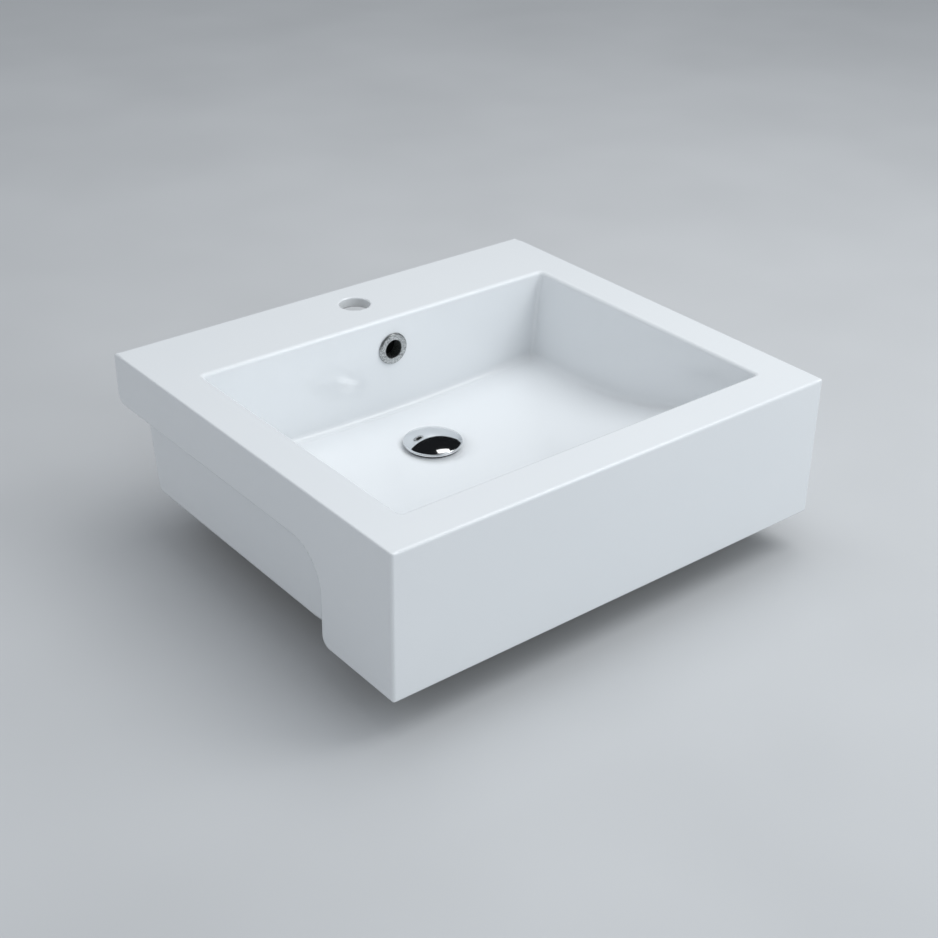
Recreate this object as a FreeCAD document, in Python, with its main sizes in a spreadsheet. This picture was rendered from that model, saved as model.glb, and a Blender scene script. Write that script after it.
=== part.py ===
import FreeCAD, Part
import os

import Sketcher
from FreeCAD import Placement, Rotation, Vector

# Semi recessed ceramic basin with its overflow trim and a press-to-open waste.
# X runs to the right, Y to the wall and Z up, in millimetres. X = Y = 0 is the axis of the waste,
# and Z = 0 is the counter top, which the underside of the rim rests on.

doc = FreeCAD.newDocument("semi_recessed_basin")

SIZES = (
    # the outside
    ("overall_width", 550), ("overall_depth", 495), ("waste_from_front", 302),
    ("rim_height", 58), ("body_drop", 96), ("apron_drop", 100), ("apron_depth", 114),
    ("body_side_inset", 10.5), ("body_rear_inset", 36), ("step_radius", 45),
    ("plan_corner_radius", 3), ("top_edge_radius", 2.5), ("rear_low_radius", 13),
    ("apron_low_radius", 2.5), ("apron_heel_radius", 12), ("body_corner_radius", 12),
    ("body_low_radius", 8), ("seat_fillet", 3), ("rear_top_radius", 4.5), ("body_draft", 2.5),
    ("toe_length", 38), ("toe_radius", 85),
    # the bowl
    ("deck_depth", 103), ("side_rim", 46), ("front_rim", 50), ("bowl_depth", 116),
    ("side_lean", 12), ("front_lean", 15), ("floor_cross_radius", 2690),
    ("floor_rise_start", 10), ("floor_rise_radius", 520), ("bowl_corner_radius", 6),
    ("foot_radius", 6), ("opening_edge_radius", 4), ("waste_dish", 2),
    ("waste_seat_diameter", 67), ("waste_dish_diameter", 118), ("waste_dish_rise", 8),
    ("over_top", 20), ("floor_sweep", 13),
    # walls, webs and the overflow duct
    ("ceramic_wall", 10), ("deck_wall", 12), ("seat_wall", 10), ("duct_width", 56),
    ("duct_gap", 12), ("duct_top", 44), ("duct_floor_wall", 9), ("boss_diameter", 92),
    ("niche_half_width", 75), ("bar_depth", 21), ("cut_over", 10), ("web_setback", 1),
    # holes
    ("tap_hole_diameter", 35), ("tap_from_back", 48), ("tap_edge_radius", 1.5),
    ("waste_hole_diameter", 46), ("overflow_hole_diameter", 27),
    ("overflow_x", 12), ("overflow_below_top", 38),
    # the overflow trim
    ("ring_diameter", 37), ("ring_proud", 3), ("ring_edge", 0.75), ("ring_lip", 1.5),
    ("ring_bore", 21), ("spigot_diameter", 24.6), ("spigot_length", 12),
    ("sleeve_diameter", 26.6), ("sleeve_length", 8), ("sleeve_setback", 1), ("sleeve_gap", 0.1),
    # the waste body and what clamps it
    ("flange_seal_thickness", 2), ("flange_seal_diameter", 60), ("flange_diameter", 64),
    ("flange_thickness", 2.5), ("flange_edge", 1.25), ("flange_mouth", 43), ("throat_depth", 5),
    ("shank_diameter", 40.6), ("thread_diameter", 41.9), ("shank_drop", 0.5),
    ("tube_bore", 37.5), ("tail_length", 82),
    ("window_width", 18), ("window_height", 13), ("window_drop", 17),
    ("washer_bore", 42.5), ("washer_diameter", 68), ("washer_thickness", 6),
    ("slip_washer_thickness", 1.5), ("slip_washer_diameter", 64),
    ("backnut_flats", 56), ("backnut_height", 9), ("backnut_bore", 42.1), ("backnut_chamfer", 2),
    ("hub_drop", 44), ("hub_thickness", 5), ("hub_diameter", 15), ("hub_arm", 4),
    # the latching cartridge
    ("stud_diameter", 8), ("stud_length", 8), ("stud_gap", 0.05),
    ("housing_diameter", 17), ("housing_bore", 13), ("housing_floor", 3),
    ("housing_height", 36), ("rib_bore", 10.4), ("rib_half_chord", 1.27),
    ("rib_ramp", 4.2), ("gland_diameter", 19), ("gland_height", 5), ("gland_chamfer", 1),
    ("gland_spigot", 1), ("gland_spigot_diameter", 12.8), ("gland_bore", 7.2),
    ("ring_groove_diameter", 10.4), ("ring_groove_depth", 2.2), ("o_ring_wire", 1.5),
    ("rod_diameter", 6.6), ("rod_thread", 6), ("crown_diameter", 9.8), ("crown_height", 4.7),
    ("fin_diameter", 12.4), ("fin_width", 2.2), ("fin_extra", 2), ("tail_pin_diameter", 4.6),
    ("tail_pin_length", 6.3), ("rotor_height", 4.5), ("rotor_bore", 5.2), ("lug_width", 2.2),
    ("lug_height", 4), ("running_gap", 0.3), ("spring_diameter", 9.4), ("spring_wire", 0.9),
    ("spring_turns", 5), ("seat_gap", 0.05), ("key_root", 1),
    # the plug
    ("plug_travel", 9), ("cap_diameter", 66), ("cap_height", 9.6), ("cap_edge", 1.2),
    ("cap_skin", 1.6), ("cap_lift", 0.6), ("cap_boss_diameter", 12),
    ("cap_boss_depth", 2.1), ("cap_socket_depth", 8), ("skirt_diameter", 48),
    ("skirt_wall", 1.3), ("skirt_rise", 0.5), ("seal_diameter", 57), ("seal_clearance", 0.3),
    ("seal_gap", 0.1), ("locknut_flats", 10), ("locknut_height", 3), ("locknut_chamfer", 0.6),
)

sheet = doc.addObject("Spreadsheet::Sheet", "sizes")
for row, (alias, size) in enumerate(SIZES, start=1):
    sheet.set(f"A{row}", alias)
    sheet.set(f"B{row}", str(size))
    sheet.setAlias(f"B{row}", alias)
doc.recompute()

# Places that several pieces share, each worked out from the sheet.
HALF = "sizes.overall_width / 2"
FRONT = "-sizes.waste_from_front"
BACK = "(sizes.overall_depth - sizes.waste_from_front)"
TOP = "sizes.rim_height"
APRON_BACK = f"({FRONT} + sizes.apron_depth)"
BODY_HALF = f"({HALF} - sizes.body_side_inset)"
BODY_BACK = f"({BACK} - sizes.body_rear_inset)"
BOWL_BACK = f"({BACK} - sizes.deck_depth)"
BOWL_FRONT = f"({FRONT} + sizes.front_rim)"
BOWL_HALF = f"({HALF} - sizes.side_rim)"
FLOOR = "(sizes.rim_height - sizes.bowl_depth)"
SEAT = f"({FLOOR} - sizes.waste_dish)"
UNDER_FLANGE = f"({SEAT} + sizes.flange_seal_thickness)"
FLANGE_TOP = f"({UNDER_FLANGE} + sizes.flange_thickness)"
TAIL_END = f"({UNDER_FLANGE} - sizes.tail_length)"
WASHER_LOW = "(-sizes.body_drop - sizes.washer_thickness)"
SLIP_LOW = f"({WASHER_LOW} - sizes.slip_washer_thickness)"
NUT_LOW = f"({SLIP_LOW} - sizes.backnut_height)"
HUB_TOP = f"({UNDER_FLANGE} - sizes.hub_drop)"
HOUSING_FLOOR = f"({HUB_TOP} + sizes.housing_floor)"
HOUSING_TOP = f"({HUB_TOP} + sizes.housing_height)"
GLAND_LOW = f"({HOUSING_TOP} - sizes.gland_spigot)"
GLAND_TOP = f"({HOUSING_TOP} + sizes.gland_height)"
FIN_TOP = f"({GLAND_LOW} - sizes.plug_travel - sizes.running_gap)"
CROWN_TOP = f"({FIN_TOP} - sizes.fin_extra)"
CROWN_LOW = f"({CROWN_TOP} - sizes.crown_height)"
ROTOR_TOP = f"({CROWN_LOW} - sizes.running_gap)"
ROTOR_LOW = f"({ROTOR_TOP} - sizes.rotor_height)"
CAP_LOW = f"({FLANGE_TOP} + sizes.cap_lift)"
CAP_TOP = f"({CAP_LOW} + sizes.cap_height)"
BOSS_LOW = f"({CAP_LOW} - sizes.cap_boss_depth)"
DUCT_BACK = f"({BOWL_BACK} + 2 * sizes.ceramic_wall + sizes.duct_gap)"
DUCT_HALF = "sizes.duct_width / 2"
DUCT_FLOOR = "(-sizes.body_drop + sizes.duct_floor_wall)"
OVERFLOW_Z = "(sizes.rim_height - sizes.overflow_below_top)"
TAP_Y = f"({BACK} - sizes.tap_from_back)"


def value(expression):
    """The number that an expression gives with the sheet's sizes."""
    return float(sheet.evalExpression(expression))


def block(name, x, y, z):
    """A box between a low and a high expression along each axis."""
    box = doc.addObject("Part::Box", name)
    for side, axis, (low, high) in zip(("Length", "Width", "Height"), "xyz", (x, y, z)):
        box.setExpression(side, f"({high}) - ({low})")
        box.setExpression(f"Placement.Base.{axis}", low)
    return box


def rod(name, diameter, low, high, x="0", y="0"):
    """An upright cylinder."""
    cylinder = doc.addObject("Part::Cylinder", name)
    cylinder.setExpression("Radius", f"({diameter}) / 2")
    cylinder.setExpression("Height", f"({high}) - ({low})")
    for axis, place in zip("xyz", (x, y, low)):
        cylinder.setExpression(f"Placement.Base.{axis}", place)
    return cylinder


def fuse(name, *shapes):
    """One solid from several."""
    union = doc.addObject("Part::MultiFuse", name)
    union.Shapes = list(shapes)
    return union


def cut(name, base, tool):
    """The base without the tool."""
    difference = doc.addObject("Part::Cut", name)
    difference.Base = base
    difference.Tool = tool
    return difference


def new_body(name, base=None):
    """A body, which starts from another shape where one is given."""
    body = doc.addObject("PartDesign::Body", name)
    body.Label = name
    if base:
        body.BaseFeature = base
        doc.recompute()
    return body


def datum(body, role):
    """One of a body's own origin planes or axes."""
    return next(f for f in body.Origin.OriginFeatures if f.Role == role)


def outline(body, name, role, points, radii=None):
    """A closed sketch through points of two expressions each. radii holds, by the number of the
    point that a side starts from, the radius of an arc in place of that straight side, and
    whether it bulges to the left of the way along."""
    radii = radii or {}
    sketch = body.newObject("Sketcher::SketchObject", name)
    sketch.AttachmentSupport = [(datum(body, role), "")]
    sketch.MapMode = "FlatFace"
    places = [Vector(value(x), value(y), 0) for x, y in points]
    count = len(places)
    for i, start in enumerate(places):
        end = places[(i + 1) % count]
        if i in radii:
            radius = value(radii[i][0])
            way = end - start
            side = Vector(-way.y, way.x, 0).normalize() * (1 if radii[i][1] else -1)
            rise = radius - (radius ** 2 - (way.Length / 2) ** 2) ** 0.5
            arc = Part.Arc(start, (start + end) * 0.5 + side * rise, end)
            sketch.addGeometry(arc)
        else:
            sketch.addGeometry(Part.LineSegment(start, end))
    for i, (x, y) in enumerate(points):
        shape = sketch.Geometry[i]
        first = 1 if (sketch.getPoint(i, 1) - places[i]).Length < 1e-6 else 2
        before = (i - 1) % count
        last = 2 if (sketch.getPoint(before, 2) - places[i]).Length < 1e-6 else 1
        sketch.addConstraint(Sketcher.Constraint("Coincident", before, last, i, first))
        for kind, place in (("DistanceX", x), ("DistanceY", y)):
            number = value(place)
            index = sketch.addConstraint(Sketcher.Constraint(kind, -1, 1, i, first, number))
            sketch.setExpression(f"Constraints[{index}]", place)
        if i in radii:
            index = sketch.addConstraint(Sketcher.Constraint("Radius", i, shape.Radius))
            sketch.setExpression(f"Constraints[{index}]", radii[i][0])
    return sketch


def pad(body, sketch, length, midplane=False, down=False, draft=None):
    """Material on a sketch, whose sides lean by a draft where one is given."""
    feature = body.newObject("PartDesign::Pad", f"{sketch.Name}_pad")
    feature.Profile = sketch
    feature.setExpression("Length", length)
    feature.Midplane = midplane
    feature.Reversed = down
    if draft:
        feature.setExpression("TaperAngle", draft)
    doc.recompute()
    return feature


def turned(name, points, radii=None):
    """A body turned about its own Z axis from an outline of radius and height."""
    body = new_body(name)
    sketch = outline(body, f"{name}_outline", "XZ_Plane", points, radii)
    feature = body.newObject("PartDesign::Revolution", f"{name}_turned")
    feature.Profile = sketch
    feature.ReferenceAxis = (sketch, ["V_Axis"])
    feature.Angle = 360
    doc.recompute()
    return body


def turn_pattern(body, feature, count):
    """Copies of a feature round the body's Z axis."""
    pattern = body.newObject("PartDesign::PolarPattern", f"{feature.Name}_round")
    pattern.Originals = [feature]
    pattern.Axis = (datum(body, "Z_Axis"), [""])
    pattern.Angle = 360
    pattern.Occurrences = count
    body.Tip = pattern
    doc.recompute()
    return pattern


def round_edges(body, name, radius, wanted):
    """A fillet on the edges for which wanted(edge) is true."""
    base = body.Tip
    edges = [f"Edge{i}" for i, edge in enumerate(base.Shape.Edges, start=1) if wanted(edge)]
    feature = body.newObject("PartDesign::Fillet", name)
    feature.Base = (base, edges)
    feature.setExpression("Radius", radius)
    doc.recompute()
    return feature


def middle(edge):
    """The point half way along an edge."""
    return edge.valueAt((edge.FirstParameter + edge.LastParameter) / 2)


def along(edge, axis):
    """True for a straight edge along an axis, 0 to 2 for X to Z."""
    if not isinstance(edge.Curve, Part.Line):
        return False
    return abs(abs(edge.Curve.Direction[axis]) - 1) < 1e-6


def near(number, expression, slack=0.01):
    """True where a number is what an expression gives."""
    return abs(number - value(expression)) < slack


def at(edge, x=None, y=None, z=None):
    """True where an edge's middle has each coordinate given, and both sides count for X."""
    point = middle(edge)
    if x and not near(abs(point.x), x):
        return False
    if y and not near(point.y, y):
        return False
    return not (z and not near(point.z, z))


def make_lower_body():
    """The lower body: walls that lean in as they go down, and a toe that rises to the apron."""
    body = new_body("lower_body")
    plan = outline(body, "lower_plan", "XY_Plane", (
        (f"-{BODY_HALF}", f"({APRON_BACK} - sizes.ceramic_wall)"),
        (BODY_HALF, f"({APRON_BACK} - sizes.ceramic_wall)"),
        (BODY_HALF, BODY_BACK), (f"-{BODY_HALF}", BODY_BACK)))
    pad(body, plan, "sizes.body_drop", down=True, draft="-sizes.body_draft")
    toe = f"({APRON_BACK} + sizes.toe_length)"
    run = "(sizes.toe_length + 2 * sizes.ceramic_wall)"
    rise = f"(sizes.toe_radius - sqrt(sizes.toe_radius ^ 2 - {run} ^ 2))"
    below = "-sizes.body_drop - sizes.cut_over"
    view = outline(body, "toe_view", "YZ_Plane", (
        (toe, "-sizes.body_drop"), (f"{toe} - {run}", f"-sizes.body_drop + {rise}"),
        (f"{toe} - {run}", below), (toe, below)), {0: ("sizes.toe_radius", False)})
    feature = body.newObject("PartDesign::Pocket", "toe_cut")
    feature.Profile = view
    feature.setExpression("Length", "sizes.overall_width")
    feature.Midplane = True
    doc.recompute()
    slack = value("sizes.body_drop * tan(sizes.body_draft)") + 1
    round_edges(body, "body_rear_corners", "sizes.body_corner_radius",
                lambda e: upright(e) and near(abs(middle(e).x), BODY_HALF, slack)
                and near(middle(e).y, BODY_BACK, slack))
    round_edges(body, "body_low_edges", "sizes.body_low_radius",
                lambda e: near(middle(e).z, "-sizes.body_drop") and middle(e).y > value(APRON_BACK))
    return body


def make_outside():
    """The block of the basin: rim band, deep front apron and the lower body behind it."""
    body = new_body("rim_and_apron")
    rim = outline(body, "rim_plan", "XY_Plane",
                  ((f"-{HALF}", FRONT), (HALF, FRONT), (HALF, BACK), (f"-{HALF}", BACK)))
    pad(body, rim, TOP)
    step = f"({APRON_BACK} + sizes.step_radius)"
    side = outline(body, "side_view", "YZ_Plane", (
        (FRONT, TOP), (FRONT, "-sizes.apron_drop"), (APRON_BACK, "-sizes.apron_drop"),
        (APRON_BACK, "-sizes.step_radius"), (step, "0"), (step, TOP),
    ), {3: ("sizes.step_radius", True)})
    pad(body, side, "sizes.overall_width", midplane=True)
    round_edges(body, "apron_heel", "sizes.apron_heel_radius",
                lambda e: along(e, 0) and at(e, None, APRON_BACK, "-sizes.apron_drop"))
    whole = fuse("outside_joined", body, make_lower_body())
    doc.recompute()
    body = new_body("outside", whole)
    doc.recompute()
    round_edges(body, "body_to_rim", "sizes.seat_fillet",
                lambda e: near(middle(e).z, "0") and at(e, BODY_HALF))
    round_edges(body, "rear_low_edge", "sizes.rear_low_radius",
                lambda e: along(e, 0) and at(e, None, BACK, "0"))
    round_edges(body, "rear_top_edge", "sizes.rear_top_radius",
                lambda e: along(e, 0) and at(e, None, BACK, TOP))
    round_edges(body, "plan_corners", "sizes.plan_corner_radius",
                lambda e: along(e, 2) and near(abs(middle(e).x), HALF)
                and (near(middle(e).y, FRONT) or near(middle(e).y, BACK)))
    round_edges(body, "apron_low_edges", "sizes.apron_low_radius",
                lambda e: near(middle(e).z, "-sizes.apron_drop") and middle(e).y < value(FRONT) + 1)
    behind = value(f"{BACK} - sizes.rear_top_radius") - 1
    round_edges(body, "top_edges", "sizes.top_edge_radius",
                lambda e: near(middle(e).z, TOP) and middle(e).y < behind)
    return body


def bowl_form(name, grow, corner, foot):
    """The hollow of the bowl, grown outwards by a wall: four leaning walls over a floor that is
    dished across the basin and rises to the front."""
    over = "(sizes.rim_height + sizes.over_top)"
    low = f"({FLOOR} - 2 * sizes.over_top)"

    def inset(lean, height):
        return f"{lean} * (sizes.rim_height - {height}) / sizes.bowl_depth"

    walls = doc.addObject("Part::Wedge", f"{name}_walls")
    walls.Placement = Placement(Vector(), Rotation(Vector(1, 0, 0), 90))
    for prefix, height in (("", low), ("2", over)):
        side = f"({BOWL_HALF} + {grow} - {inset('sizes.side_lean', height)})"
        front = f"({BOWL_FRONT} - {grow} + {inset('sizes.front_lean', height)})"
        walls.setExpression(f"X{prefix}min", f"-{side}")
        walls.setExpression(f"X{prefix}max", side)
        walls.setExpression(f"Z{prefix}min", f"-({BOWL_BACK} + {grow})")
        walls.setExpression(f"Z{prefix}max", f"-{front}")
    walls.setExpression("Ymin", low)
    walls.setExpression("Ymax", over)

    sketch = doc.addObject("Sketcher::SketchObject", f"{name}_profile")
    sketch.Placement = Placement(Vector(), Rotation(Vector(1, 1, 1), 120))
    floor = value(f"{FLOOR} - {grow}")
    start = value("sizes.floor_rise_start")
    radius = value(f"sizes.floor_rise_radius + {grow}")
    reach = value(f"{FRONT} - sizes.over_top")
    turn = start - reach
    climb = radius - (radius ** 2 - turn ** 2) ** 0.5
    part_way = radius - (radius ** 2 - (turn / 2) ** 2) ** 0.5
    back = value(f"{BACK}")
    high = value(over) + 1
    corners = (Vector(back, floor, 0), Vector(back, high, 0), Vector(reach, high, 0),
               Vector(reach, floor + climb, 0))
    for a, b in zip(corners, corners[1:]):
        sketch.addGeometry(Part.LineSegment(a, b))
    sketch.addGeometry(Part.Arc(corners[3], Vector(start - turn / 2, floor + part_way, 0),
                                Vector(start, floor, 0)))
    sketch.addGeometry(Part.LineSegment(Vector(start, floor, 0), corners[0]))
    doc.recompute()
    room = doc.addObject("Part::Revolution", f"{name}_floor")
    room.Source = sketch
    room.Axis = Vector(0, 1, 0)
    room.setExpression("Base.z", f"{FLOOR} + sizes.floor_cross_radius")
    room.setExpression("Angle", "sizes.floor_sweep")
    room.Symmetric = True
    room.Solid = True
    common = doc.addObject("Part::MultiCommon", f"{name}_raw")
    common.Shapes = [walls, room]
    doc.recompute()
    body = new_body(name, common)
    doc.recompute()
    top = value(over) - 1
    round_edges(body, f"{name}_corners", corner, lambda e: isinstance(e.Curve, Part.Line)
                and abs(e.Curve.Direction.z) > 0.9)
    round_edges(body, f"{name}_foot", foot, lambda e: e.BoundBox.ZMax < top
                and max(v.Z for v in e.Vertexes) < top and not upright(e))
    return body


def upright(edge):
    """True for an edge that climbs more than it runs."""
    box = edge.BoundBox
    return box.ZLength > 2 * max(box.XLength, box.YLength)


def make_basin():
    """The ceramic: outside, bowl, hollow underside with its webs, overflow duct and holes."""
    outside = make_outside()
    hollow = bowl_form("bowl_hollow", "0", "sizes.bowl_corner_radius", "sizes.foot_radius")
    shell = bowl_form("bowl_shell", "sizes.ceramic_wall",
                      "(sizes.bowl_corner_radius + sizes.ceramic_wall)",
                      "(sizes.foot_radius + sizes.ceramic_wall)")
    wall = "sizes.ceramic_wall"
    below = "(-sizes.apron_drop - sizes.cut_over)"
    deck = "(sizes.rim_height - sizes.deck_wall)"
    niche = "sizes.niche_half_width"
    web_back = f"{BACK} - sizes.web_setback"
    rooms = fuse(
        "underside_rooms",
        block("rim_room", (f"-{HALF} + {wall}", f"{HALF} - {wall}"),
              (f"{FRONT} + {wall}", f"{BACK} - {wall}"), ("sizes.seat_wall", deck)),
        block("apron_room", (f"-{HALF} + {wall}", f"{HALF} - {wall}"),
              (f"{FRONT} + {wall}", f"{APRON_BACK} - {wall}"), (below, deck)),
        body_room(below, deck),
        block("tap_niche", (f"-{niche}", niche),
              (BOWL_BACK, f"{BACK} - sizes.bar_depth"), (below, deck)),
        block("rear_window", (f"-{niche}", niche),
              (BOWL_BACK, f"{BACK} + sizes.cut_over"), ("sizes.seat_wall", deck)),
    )
    kept = fuse(
        "underside_kept", shell,
        block("left_web", (f"-{niche} - {wall}", f"-{niche}"),
              (f"{BOWL_BACK} - {wall}", web_back), ("-sizes.body_drop", deck)),
        block("right_web", (niche, f"{niche} + {wall}"),
              (f"{BOWL_BACK} - {wall}", web_back), ("-sizes.body_drop", deck)),
        block("duct_block", (f"-{DUCT_HALF} - {wall}", f"{DUCT_HALF} + {wall}"),
              ("0", DUCT_BACK), ("-sizes.body_drop", "sizes.duct_top")),
        rod("waste_boss", "sizes.boss_diameter", "-sizes.body_drop", FLOOR),
    )
    doc.recompute()
    underside = cut("underside", rooms, kept)
    holes = fuse(
        "holes", hollow, underside,
        rod("waste_hole", "sizes.waste_hole_diameter", below, "0"),
        block("duct_drop", (f"-{DUCT_HALF}", DUCT_HALF),
              (f"{BOWL_BACK} + {wall}", f"{DUCT_BACK} - {wall}"),
              (DUCT_FLOOR, f"sizes.duct_top - {wall}")),
        block("duct_run", (f"-{DUCT_HALF}", DUCT_HALF),
              ("sizes.waste_hole_diameter / 4", f"{DUCT_BACK} - {wall}"),
              (DUCT_FLOOR, f"{DUCT_FLOOR} + sizes.duct_gap")),
        rod("tap_hole", "sizes.tap_hole_diameter", "0", f"{TOP} + sizes.cut_over", "0", TAP_Y),
        waste_dish(),
        overflow_hole(),
    )
    body = new_body("basin", cut("basin_cut", outside, holes))
    doc.recompute()
    round_edges(body, "opening_edge", "sizes.opening_edge_radius",
                lambda e: near(middle(e).z, TOP) and abs(middle(e).x) < value(HALF) - 20
                and value(FRONT) + 20 < middle(e).y < value(BOWL_BACK) + 1)
    round_edges(body, "tap_edge", "sizes.tap_edge_radius",
                lambda e: near(middle(e).z, TOP) and isinstance(e.Curve, Part.Circle)
                and near(e.Curve.Center.y, TAP_Y))
    return body


def waste_dish():
    """The shallow cone that the floor falls in round the waste, down to a flat seat."""
    dish = doc.addObject("Part::Cone", "waste_dish")
    dish.setExpression("Radius1", "sizes.waste_seat_diameter / 2")
    dish.setExpression("Radius2", "sizes.waste_dish_diameter / 2")
    dish.setExpression("Height", "sizes.waste_dish_rise")
    dish.setExpression("Placement.Base.z", SEAT)
    return dish


def body_room(low, high):
    """The hollow behind the apron, between walls that lean as the outside of the body does."""
    room = doc.addObject("Part::Wedge", "body_room")
    room.Placement = Placement(Vector(), Rotation(Vector(1, 0, 0), 90))
    for prefix, height in (("", low), ("2", high)):
        grow = f"({height} * tan(sizes.body_draft) - sizes.ceramic_wall)"
        room.setExpression(f"X{prefix}min", f"-({BODY_HALF} + {grow})")
        room.setExpression(f"X{prefix}max", f"{BODY_HALF} + {grow}")
        room.setExpression(f"Z{prefix}min", f"-({BODY_BACK} + {grow})")
        room.setExpression(f"Z{prefix}max", f"-{APRON_BACK}")
    room.setExpression("Ymin", low)
    room.setExpression("Ymax", high)
    return room


def overflow_hole():
    """The round hole through the back wall of the bowl into the duct."""
    hole = doc.addObject("Part::Cylinder", "overflow_hole")
    hole.setExpression("Radius", "sizes.overflow_hole_diameter / 2")
    hole.setExpression("Height", "sizes.ceramic_wall + sizes.duct_gap / 2 + sizes.cut_over")
    hole.Placement = Placement(Vector(), Rotation(Vector(1, 0, 0), 90))
    hole.setExpression("Placement.Base.x", "sizes.overflow_x")
    hole.setExpression("Placement.Base.y", f"{BOWL_BACK} + sizes.ceramic_wall + sizes.duct_gap / 2")
    hole.setExpression("Placement.Base.z", OVERFLOW_Z)
    return hole


def dome_radius(rise, across):
    """The radius of the sphere that a dome is cut from, from its rise and its width across."""
    return f"(((({across}) / 2) ^ 2 + ({rise}) ^ 2) / (2 * ({rise})))"


def dome_height(radius, rise, across, top):
    """The height of a dome's surface at a distance from its axis."""
    sphere = dome_radius(rise, across)
    return f"({top} - {sphere} + sqrt({sphere} ^ 2 - ({radius}) ^ 2))"


def make_overflow_ring():
    """The trim ring: a domed flange on the back wall, and a spigot through it into the duct."""
    bore, spigot = "sizes.ring_bore / 2", "sizes.spigot_diameter / 2"
    outer, proud = "sizes.ring_diameter / 2", "sizes.ring_proud"
    body = turned("overflow_ring", (
        (bore, "-sizes.spigot_length"), (spigot, "-sizes.spigot_length"), (spigot, "0"),
        (outer, "0"), (outer, "sizes.ring_edge"), (f"{outer} - {proud}", proud),
        (f"{bore} + sizes.ring_lip", proud), (bore, f"{proud} - sizes.ring_lip"),
    ), {4: (proud, True)})
    return on_back_wall(body)


def make_overflow_sleeve():
    """The soft sleeve that grips the ring's spigot in its hole."""
    inner = "sizes.spigot_diameter / 2 + sizes.sleeve_gap"
    outer = "sizes.sleeve_diameter / 2"
    far, close = "-sizes.sleeve_setback - sizes.sleeve_length", "-sizes.sleeve_setback"
    body = turned("overflow_sleeve", ((inner, far), (outer, far), (outer, close), (inner, close)))
    return on_back_wall(body)


def on_back_wall(body):
    """Turns a body so that its Z axis comes out of the back wall at the overflow."""
    body.Placement = Placement(Vector(), Rotation(Vector(1, 0, 0), 90))
    body.setExpression("Placement.Base.x", "sizes.overflow_x")
    body.setExpression("Placement.Base.y", BOWL_BACK)
    body.setExpression("Placement.Base.z", OVERFLOW_Z)
    return body


def ring(name, bore, across, low, high):
    """A flat washer or seal."""
    inner, outer = f"({bore}) / 2", f"({across}) / 2"
    return turned(name, ((inner, low), (outer, low), (outer, high), (inner, high)))


def hex_nut(name, flats, bore, low, high, chamfer):
    """A hexagon nut with its corners turned back at both faces."""
    hexagon = doc.addObject("Part::Prism", f"{name}_hexagon")
    hexagon.Polygon = 6
    hexagon.setExpression("Circumradius", f"{flats} / sqrt(3)")
    hexagon.setExpression("Height", f"({high}) - ({low})")
    hexagon.setExpression("Placement.Base.z", low)
    corner = f"({flats} / sqrt(3))"
    blank = turned(f"{name}_blank", (
        (f"{bore} / 2", low), (f"{corner} - {chamfer}", low), (corner, f"{low} + {chamfer} / 2"),
        (corner, f"{high} - {chamfer} / 2"), (f"{corner} - {chamfer}", high), (f"{bore} / 2", high)))
    nut = doc.addObject("Part::MultiCommon", f"{name}_solid")
    nut.Shapes = [hexagon, blank]
    doc.recompute()
    return new_body(name, nut)


def make_waste_body():
    """The waste: a flange with a conical mouth on a threaded tube, a little thinner down to below
    its nut, with overflow windows and a cross of arms that carries the cartridge."""
    tube, bore = "sizes.thread_diameter / 2", "sizes.tube_bore / 2"
    shank, step = "sizes.shank_diameter / 2", f"{NUT_LOW} - sizes.shank_drop"
    outer = "sizes.flange_diameter / 2"
    shape = turned("waste_tube", (
        (tube, TAIL_END), (tube, step), (shank, step), (shank, UNDER_FLANGE),
        (outer, UNDER_FLANGE),
        (outer, f"{FLANGE_TOP} - sizes.flange_edge"), (f"{outer} - sizes.flange_edge", FLANGE_TOP),
        ("sizes.flange_mouth / 2", FLANGE_TOP), (bore, f"{FLANGE_TOP} - sizes.throat_depth"),
        (bore, TAIL_END)))
    hub_low = f"({HUB_TOP} - sizes.hub_thickness)"
    across = (f"-{bore} - sizes.key_root", f"{bore} + sizes.key_root")
    arm = ("-sizes.hub_arm / 2", "sizes.hub_arm / 2")
    solid = fuse("waste_solid", shape, rod("waste_hub", "sizes.hub_diameter", hub_low, HUB_TOP),
                 block("arm_x", across, arm, (hub_low, HUB_TOP)),
                 block("arm_y", arm, across, (hub_low, HUB_TOP)))
    through = (f"-{tube} - sizes.cut_over", f"{tube} + sizes.cut_over")
    window = ("-sizes.window_width / 2", "sizes.window_width / 2")
    high = f"({UNDER_FLANGE} - sizes.window_drop)"
    height = (f"{high} - sizes.window_height", high)
    holes = fuse("waste_openings", block("window_x", through, window, height),
                 block("window_y", window, through, height),
                 rod("stud_hole", "sizes.stud_diameter + 2 * sizes.stud_gap",
                     f"{hub_low} - sizes.cut_over", f"{HUB_TOP} + sizes.cut_over"))
    return new_body("waste_body", cut("waste_cut", solid, holes))


def side_feature(body, name, points, start, length, inwards=False):
    """A key on a body: an outline seen along X, padded from a distance out from the axis. It goes
    outwards along X, or the other way on the far side of the axis."""
    sketch = outline(body, name, "YZ_Plane", points)
    sketch.setExpression("AttachmentOffset.Base.z", f"-({start})" if inwards else start)
    doc.recompute()
    return turn_pattern(body, pad(body, sketch, length, down=inwards), 3)


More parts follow.
